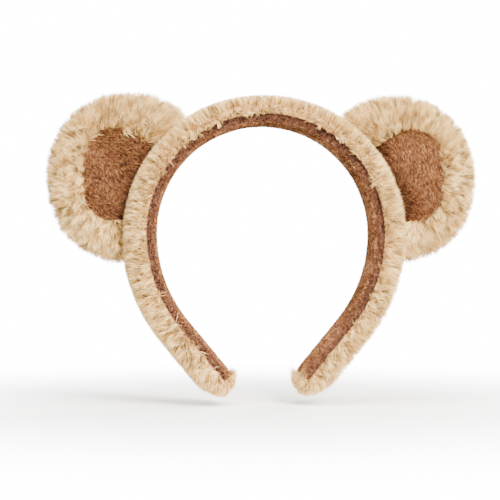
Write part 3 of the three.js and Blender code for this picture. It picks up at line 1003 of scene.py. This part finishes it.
def blow_up(side, seed):
    """Where the points of one ear's cloth were before it was blown up, and how far they moved."""
    body = ear_body("ear_trial", side, 0)
    remesh = body.modifiers.new("squares", "REMESH")
    remesh.mode = "VOXEL"
    remesh.voxel_size = CLOTH_SQUARE
    squared = bpy.data.meshes.new_from_object(evaluated(body))
    body.modifiers.clear()
    body.data = squared
    before = points_of(body)
    before[:, 1] += FIRST_LUMPS * smooth_noise(before, LUMP_SIZE, seed)
    squared.vertices.foreach_set("co", before.astype(np.float32).ravel())
    held = body.vertex_groups.new(name="root")
    out = np.hypot(before[:, 0], before[:, 2] + CROWN_RADIUS)
    held.add([int(k) for k in np.flatnonzero(out < COVER_ROOT + HELD_ROOT)], 1.0, "REPLACE")
    cloth = body.modifiers.new("pressure", "CLOTH")
    cloth.settings.use_pressure = True
    cloth.settings.uniform_pressure_force = PRESSURE
    cloth.settings.vertex_group_mass = "root"
    cloth.settings.effector_weights.gravity = 0
    cloth.point_cache.frame_start = 1
    cloth.point_cache.frame_end = STEPS
    for step in range(1, STEPS + 1):
        bpy.context.scene.frame_set(step)
    blown = bpy.data.meshes.new_from_object(evaluated(body))
    after = np.empty(3 * len(blown.vertices), np.float32)
    blown.vertices.foreach_get("co", after)
    moved = after.reshape(-1, 3) - before
    far = np.linalg.norm(moved, axis=1, keepdims=True)
    moved *= np.minimum(1, MOST_SWELL / np.maximum(far, NO_LENGTH))
    bpy.context.scene.frame_set(1)
    bpy.data.objects.remove(body)
    print("ear swelled by up to", round(float(far.max()) / MM, 1), "mm, kept to", MOST_SWELL / MM)
    return before, moved


def swell_of(side, seed):
    """A function that says how far any point near a blown-up ear moves with its cloth."""
    before, moved = blow_up(side, seed)
    tree = KDTree(len(before))
    for k, spot in enumerate(before):
        tree.insert(spot, k)
    tree.balance()

    def shift(points):
        flat = points.reshape(-1, 3)
        result = np.empty_like(flat)
        for k, spot in enumerate(flat):
            near = tree.find_n(spot, NEIGHBOURS)
            weights = np.array([1 / (n[2] + NEIGHBOUR_EASE) ** 2 for n in near])
            result[k] = weights @ moved[[n[1] for n in near]] / weights.sum()
        return result.reshape(points.shape)
    return shift


SHIFTS = {name: swell_of(side, 900 + side) for name, side in SIDES.items()}


# %% Say how the ear's fur lies
EAR_FUR_HABIT = {**FUR_HABIT, "gather": 0.32, "swing": 0.42, "wild": 0.26, "dye": 0.7}
EAR_FUR_WIDTH = 0.25 * MM
EAR_DRIFT = 0.42
FRONT_DENSITY, REAR_DENSITY = 10.5 * PER_MM2, 7.5 * PER_MM2
INNER_FUR, RIM_FUR = 5.0, 4.2
RIM_FUR_FROM, RIM_FUR_WIDTH = 16, 16
INNER_COMB, RIM_COMB = 0.9, 0.2
COMB_FROM, COMB_WIDTH = 18, 12


def ear_fur_length(roots, normals):
    """In mm, short beside the patch and longest at the rim."""
    edge = np.hypot(abs(roots[:, 0]) - PATCH_MIDDLE[0], roots[:, 2] - PATCH_MIDDLE[1])
    to_rim = np.clip((edge / MM - RIM_FUR_FROM) / RIM_FUR_WIDTH, 0, 1)
    return (INNER_FUR + RIM_FUR * to_rim) * MM


def ear_fur_lean(side):
    """Combed outwards from the patch, crossing from lock to lock."""
    def lean(roots, normals):
        out = roots - np.array([side * PATCH_MIDDLE[0], 0, PATCH_MIDDLE[1]])
        out[:, 1] = 0
        distance = np.linalg.norm(out, axis=1, keepdims=True)
        strength = INNER_COMB + RIM_COMB * np.clip((distance / MM - COMB_FROM) / COMB_WIDTH, 0, 1)
        return out / distance * strength + drift(roots, FUR_DRIFT, 500) * EAR_DRIFT
    return lean


# %% Say how the patch's nap lies
PATCH_HABIT = {"lock": 0.9 * MM, "gather": 0.3, "swing": 0.18, "wild": 0.1, "cut": 1.0, "dye": 0.25}
PATCH_NAP_WIDTH = 0.4 * MM
PATCH_NAP_LENGTH = 2.7 * MM
PATCH_DENSITY = 14 * PER_MM2
STROKE_WAY = math.radians(-50)
STROKE_SWIRL, SWIRL_SIZE = 0.7, 24 * MM
STROKE_LEAN = 1.1
# The fold's darkening beside the band is painted shadow.
PATCH_SHADE, FOLD_PAINTED_SHADOW, FOLD_SHADOW_WIDTH = -0.08, 0.5, 5 * MM


def patch_lean(roots, normals):
    """Stroked flat, down and to one side, in slow swirls."""
    way = STROKE_WAY + STROKE_SWIRL * smooth_noise(roots, SWIRL_SIZE, 600)
    return STROKE_LEAN * np.stack([np.cos(way), np.zeros(len(roots)), np.sin(way)], -1)


def patch_nap_length(roots, normals):
    return np.full(len(roots), PATCH_NAP_LENGTH)


def patch_tone_and_painted_shadow(roots, normals):
    """The patch's own tone, with painted shadow darkest in the fold beside the band, under the band's
    fur.
    """
    from_band = np.hypot(roots[:, 0], roots[:, 2] + CROWN_RADIUS) - PATCH_ROOT
    return PATCH_SHADE - FOLD_PAINTED_SHADOW * np.exp(-np.maximum(from_band, 0) / FOLD_SHADOW_WIDTH)


print("the ear's fur is", INNER_FUR, "to", INNER_FUR + RIM_FUR, "mm before it is sheared")

# %% Make the ears' covers, patches and stuffing
FILLING_INSET = 3.2 * MM
CENTRE_REACH = np.full(SPOKES + 1, 0.05 * MM)
FACES = {"front": (patch_reach - 1.0 * MM, ear_reach, 26, -1, border_depth, FRONT_DENSITY),
         "rear": (CENTRE_REACH, ear_reach, 40, 1, back_depth, REAR_DENSITY)}


def swollen_grid(side_name, first, last, rings, facing, depth_of):
    """A grid of rings on one ear and its core, both moved as the stuffing moves them."""
    outer, core = ear_grid(SIDES[side_name], first, last, rings, facing, depth_of)
    moved = SHIFTS[side_name](outer)
    return outer + moved, core + moved


for number, (name, side) in enumerate(SIDES.items()):
    made = []
    for face, (first, last, rings, facing, depth_of, density) in FACES.items():
        outer, core = swollen_grid(name, first, last, rings, facing, depth_of)
        inner = outer + unit(core - outer) * CLOTH_THICKNESS
        cover = add_cloth(f"{name}_ear_{face}_backing", outer, inner)
        finish_piece(cover, FUR_BACKING)
        fur = pile_on(f"{name}_ear_{face}_fur_pile", outer, core, density, ear_fur_length,
                      ear_fur_lean(side), EAR_FUR_WIDTH, EAR_FUR_HABIT, 3, 50 + 10 * number + facing)
        finish_piece(fur, FUR)
        made += [cover, fur]
        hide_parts(f"{name}_ear_{face}_fur")
    outer, core = swollen_grid(name, CENTRE_REACH, patch_reach + 0.8 * MM, 30, -1, patch_depth)
    ground = add_cloth(name + "_patch_ground", outer, outer + np.array([0, CLOTH_THICKNESS, 0]))
    finish_piece(ground, VELOUR_GROUND)
    nap = pile_on(name + "_patch_nap", outer, core, PATCH_DENSITY, patch_nap_length,
                  patch_lean, PATCH_NAP_WIDTH, PATCH_HABIT, 2, 80 + number, patch_tone_and_painted_shadow)
    finish_piece(nap, VELOUR)
    filling = ear_body(name + "_stuffing", side, FILLING_INSET)
    finish_piece(filling, FIBRE_FILL)
    spots = points_of(filling)
    filling.data.vertices.foreach_set("co", (spots + SHIFTS[name](spots)).astype(np.float32).ravel())
    made += [ground, nap, filling]
    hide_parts(name + "_ear_patch")
    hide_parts(name + "_ear_stuffing")
    for piece in made:
        bend_with_ear(piece)


# %% [markdown]
# ## What is inside
#
# The hoop is a strip of sprung plastic, and its frame solids already have the right shape, so
# they only get a material. Wadding lies over it under the fur. Neither shows, but a reusable
# model is whole all through.

# %% Finish the hoop
for node in ("crown_hoop", "left_arm_hoop", "right_arm_hoop"):
    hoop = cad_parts[node]
    hoop.data.materials.clear()
    hoop.data.materials.append(HOOP_PLASTIC)
    print(node, "is now", hoop.data.materials[0].name)


# %% Make the wadding
WADDING_LOW, WADDING_HIGH = 4.3 * MM, 11.0 * MM
WADDING_HALF_DEPTH = 11.8 * MM
WADDING_END = ARM_END - 4 * MM
WADDING_STATIONS, WADDING_TURNS = 80, 48
WADDING_TAPER = 3 * MM
LUMP_HEIGHT, WADDING_LUMP = 0.15 * MM, 14 * MM


def wadding_ring(side, along, squeeze):
    """One closed ring of the wadding. Squeeze is 1, and less where the arm ends."""
    turns = np.linspace(0, 2 * math.pi, WADDING_TURNS + 1)
    middle = (WADDING_LOW + WADDING_HIGH) / 2
    rise = middle + (WADDING_HIGH - WADDING_LOW) / 2 * squeeze * swell(np.cos(turns))
    x, z = band_point(along, rise)
    y = WADDING_HALF_DEPTH * squeeze * swell(np.sin(turns))
    return np.stack([side * x, y, z], -1)


for name, side in SIDES.items():
    stations = np.linspace(0, WADDING_END, WADDING_STATIONS)
    squeeze = np.clip((WADDING_END - stations) / WADDING_TAPER * 0.5 + 0.5, 0.5, 1)
    rings = np.stack([wadding_ring(side, a, q) for a, q in zip(stations, squeeze)])
    lumps = LUMP_HEIGHT * smooth_noise(rings.reshape(-1, 3), WADDING_LUMP, 700)
    rings[..., 1] *= 1 + (lumps / WADDING_HALF_DEPTH).reshape(rings.shape[:2])
    wadding = finish_piece(closed_body(name + "_wadding", rings), WADDING)
    bend_with_arm(wadding)
    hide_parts(name + "_arm_padding", "crown_padding")
    print(wadding.name, "is", round((WADDING_HIGH - WADDING_LOW) / MM, 1), "mm thick")

# %% [markdown]
# ## Stitches
#
# The seams are hand stitched in thread. A seam could be a bump in the cloth's material, but the
# stitches here can be parted from the pile around them, so each is a small bent tube that
# rises out of the cloth and dips back in.

# %% Make a row of stitches
STITCH_PITCH = 2.6 * MM
STITCH_LENGTH = 2.0 * MM
STITCH_RINGS = 7
STITCH_ARCH, STITCH_SINK = 0.55, 0.3
STITCH_SLANT = 0.5
STITCH_END = 0.35
THREAD_RADIUS = 0.28 * MM
THREAD_SIDES = 8
THREAD_CAP = np.array([[0, 1, 2, 3], [0, 3, 4, 7], [4, 5, 6, 7]])


def sew(name, path, outward, material):
    """Stitches along a path of points, standing out of the cloth in the outward directions.

    Each rises out of the cloth and dips back in, thins at both ends and lies a little aslant.
    """
    walked = np.concatenate([[0], np.cumsum(np.linalg.norm(np.diff(path, axis=0), axis=1))])
    starts = np.arange(0.5 * STITCH_PITCH, walked[-1] - STITCH_PITCH, STITCH_PITCH)
    shares = np.linspace(0, 1, STITCH_RINGS)
    spots = starts[:, None] + shares * STITCH_LENGTH
    at = np.stack([np.interp(spots, walked, path[:, k]) for k in range(3)], -1)
    up = unit(np.stack([np.interp(spots, walked, outward[:, k]) for k in range(3)], -1))
    ahead = unit(np.gradient(at, axis=1))
    beside = unit(np.cross(up, ahead))
    lift = (np.sin(shares * math.pi) * STITCH_ARCH - STITCH_SINK) * MM
    slant = (shares - 0.5) * STITCH_SLANT * MM
    middle = at + up * lift[None, :, None] + beside * slant[None, :, None]
    turns = np.linspace(0, 2 * math.pi, THREAD_SIDES, endpoint=False)
    round_x, round_y = np.cos(turns)[:, None], np.sin(turns)[:, None]
    fullness = STITCH_END + (1 - STITCH_END) * np.sin(shares * math.pi) ** 0.5
    girth = THREAD_RADIUS * fullness[None, :, None, None]
    rings = middle[:, :, None] + (up[:, :, None] * round_x + beside[:, :, None] * round_y) * girth
    tube = grid_faces(STITCH_RINGS, THREAD_SIDES, closed=True)
    last_ring = (STITCH_RINGS - 1) * THREAD_SIDES
    one = np.concatenate([tube, THREAD_CAP[:, ::-1], THREAD_CAP + last_ring])
    first_points = np.arange(len(starts))[:, None, None] * STITCH_RINGS * THREAD_SIDES
    faces = (first_points + one).reshape(-1, 4)
    thread = finish_piece(add_mesh(name, rings, faces), material)
    thread.data.polygons.foreach_set("use_smooth", np.ones(len(faces), bool))
    print(name, "has", len(starts), "stitches")
    return thread


print("a stitch is", STITCH_LENGTH / MM, "mm long, every", STITCH_PITCH / MM, "mm")

# %% Sew the band's edges and tips
def sew_sleeve(name, side):
    """Fur to lining along the front and the rear edge, and the hem to the lining at the tip."""
    for place, turn in (("front", -math.pi / 2), ("rear", math.pi / 2)):
        along = np.linspace(0, HEM_START, 200)
        path = sleeve_point(side, along, np.array(turn))
        outward = np.broadcast_to([0, math.sin(turn), 0], path.shape)
        seam = sew(f"{name}_{place}_stitches", path, outward, BROWN_THREAD)
        bend_with_arm(seam)
        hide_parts(f"{name}_arm_{place}_seam", f"crown_{place}_seam")
    across = np.linspace(math.pi / 2, 3 * math.pi / 2, 60)
    path = sleeve_point(side, np.array(HEM_START), across, HEM_OUT)
    core_x, core_z = band_point(HEM_START, SLEEVE_CORE)
    outward = unit(path - np.array([side * float(core_x), 0, float(core_z)]))
    seam = sew(name + "_tip_stitches", path, outward, BROWN_THREAD)
    bend_with_arm(seam)
    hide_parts(name + "_tip_seam")


# %% Sew the ears to the band
ROOT_SEAM_OUT = 0.6 * MM
ROOT_SEAM_FORWARD = 0.6


def sew_root(name, side):
    """Along the crease in front of the ear's root, where the ear meets the sleeve."""
    spread = 0.5 * (PATCH_TOP - PATCH_BOTTOM) / ROOT_RADIUS
    turns = np.linspace(EAR_TURN - spread, EAR_TURN + spread, 80)
    x, z = band_point(turns * CROWN_RADIUS, SLEEVE_RISE)
    y = np.full_like(x, EAR_SET_BACK - ROOT_THICKNESS * EAR_SWELL - ROOT_SEAM_OUT)
    path = np.stack([side * x, y, z], -1)
    forward = -ROOT_SEAM_FORWARD * np.ones_like(x)
    outward = unit(np.stack([side * np.sin(turns), forward, np.cos(turns)], -1))
    seam = sew(name + "_root_stitches", path, outward, TAN_THREAD)
    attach(seam, name + "_arm")
    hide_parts(name + "_ear_root_seam")


# %% Sew the patches and the ears' rims
PATCH_SEAM_IN = 0.6 * MM
RIM_SEAM_FROM = COVER_ROOT + 1.5 * MM


def sew_patch(name, side):
    """Round the patch, just inside the edge of the fur border."""
    edge = PATCH_MIDDLE + spokes * (patch_reach - PATCH_SEAM_IN)[:, None]
    depth = border_depth(edge[:, None], np.zeros((SPOKES + 1, 1)))[:, 0]
    path = np.stack([side * edge[:, 0], EAR_SET_BACK - depth, edge[:, 1]], -1)
    forward = np.broadcast_to([0, -1.0, 0], path.shape)
    seam = sew(name + "_patch_stitches", path + SHIFTS[name](path), forward,
               BROWN_THREAD)
    bend_with_ear(seam)
    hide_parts(name + "_ear_patch_seam")


def sew_rim(name, side):
    """Round the ear's edge, where its front and rear covers meet."""
    edge = PATCH_MIDDLE + spokes * ear_reach[:, None]
    edge = edge[beyond_band(edge, RIM_SEAM_FROM)]
    edge = edge[np.argsort(np.arctan2(edge[:, 1] - EAR_Z, edge[:, 0] - EAR_X))]
    path = np.stack([side * edge[:, 0], np.full(len(edge), EAR_SET_BACK), edge[:, 1]], -1)
    outward = unit(path - np.array([side * EAR_X, EAR_SET_BACK, EAR_Z]))
    seam = sew(name + "_rim_stitches", path + SHIFTS[name](path), outward, TAN_THREAD)
    bend_with_ear(seam)
    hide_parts(name + "_ear_rim_seam")


# %% Sew all the seams
for name, side in SIDES.items():
    sew_sleeve(name, side)
    sew_root(name, side)
    sew_patch(name, side)
    sew_rim(name, side)


# %% [markdown]
# ## Floor and light
#
# Soft goods need large soft lights, so that each lock shades the next without hard edges. The
# floor is a pale disc just under the tips. It takes a soft shadow close to the headband, and
# further out it fades to the same white as the room, so that no horizon shows.

# %% Lay the floor
FLOOR_LEVEL = -144.5 * MM
FLOOR_RADIUS = 6.0
FLOOR_SIDES = 64
FADE_START, FADE_END = 0.15, 0.38
ROOM_WHITE = 16.0
ROOM_LIGHT = 1.1
FLOOR_LIGHT = 0.25


def room_white(tree, light):
    """Bright white where it is seen, and as mild as this where it lights the headband."""
    path = add_node(tree, "ShaderNodeLightPath")
    return add_node(tree, "ShaderNodeMix", {"data_type": "FLOAT"},
                    {0: path.outputs["Is Camera Ray"], 2: light, 3: ROOM_WHITE}).outputs[0]


around = np.linspace(0, 2 * math.pi, FLOOR_SIDES + 1)[None, :]
distances = np.array([0, 0.15, 0.4, 1.5, FLOOR_RADIUS])[:, None]
x, y = distances * np.cos(around), distances * np.sin(around)
disc = np.stack(np.broadcast_arrays(x, y, FLOOR_LEVEL), -1)
floor = add_mesh("floor", disc, grid_faces(len(distances), FLOOR_SIDES + 1))
floor_paper, tree = new_material("pale_paper_floor")
place = add_node(tree, "ShaderNodeTexCoord")
out_from = add_node(tree, "ShaderNodeVectorMath", {"operation": "LENGTH"},
                    {0: place.outputs["Object"]})
fade = add_node(tree, "ShaderNodeMapRange", {"interpolation_type": "SMOOTHSTEP"},
                {"Value": out_from.outputs["Value"], "From Min": FADE_START, "From Max": FADE_END})
paper = add_node(tree, "ShaderNodeBsdfDiffuse", inputs={"Color": linear("#fbfbfa")})
white = add_node(tree, "ShaderNodeEmission", inputs={"Strength": room_white(tree, FLOOR_LIGHT)})
both = add_node(tree, "ShaderNodeMixShader",
                inputs={"Fac": fade.outputs["Result"], 1: paper.outputs[0], 2: white.outputs[0]})
add_node(tree, "ShaderNodeOutputMaterial", inputs={"Surface": both.outputs[0]})
floor.data.materials.append(floor_paper)
print("floor is", round(FLOOR_LEVEL / MM, 1), "mm below the crown")


# %% Set the lights
LIGHTS_AIM = np.array([0, 0, -0.06])


def add_light(name, place, size, power, hex_code):
    """A square soft box that faces the headband's middle."""
    data = bpy.data.lights.new(name, "AREA")
    data.size = size
    data.energy = power
    data.color = linear(hex_code)[:3]
    light = bpy.data.objects.new(name, data)
    light.location = place
    aim = LIGHTS_AIM - np.array(place)
    yaw = math.atan2(aim[1], aim[0]) - math.pi / 2
    pitch = math.atan2(aim[2], math.hypot(aim[0], aim[1]))
    light.rotation_euler = (math.pi / 2 + pitch, 0, yaw)
    bpy.context.scene.collection.objects.link(light)
    return light


add_light("key", (0.45, -1.0, 0.5), 0.5, 64, "#fffaf2")
add_light("fill", (-0.9, -0.7, 0.2), 0.9, 7, "#fffdfa")
add_light("top", (0, -0.2, 0.4), 0.4, 7, "#ffffff")
add_light("back", (0.9, 0.9, 0.4), 0.7, 45, "#fffaf2")
print("soft boxes:", [(lamp.name, lamp.energy) for lamp in bpy.data.lights])

# %% Light the room
world = bpy.data.worlds.new("studio")
world.use_nodes = True
bpy.context.scene.world = world
world_tree = world.node_tree
world_tree.nodes.clear()
sky = add_node(world_tree, "ShaderNodeBackground",
               inputs={"Color": linear("#ffffff"), "Strength": room_white(world_tree, ROOM_LIGHT)})
add_node(world_tree, "ShaderNodeOutputWorld", inputs={"Surface": sky.outputs[0]})
print("the room is lit at", ROOM_LIGHT, "and seen at", ROOM_WHITE)
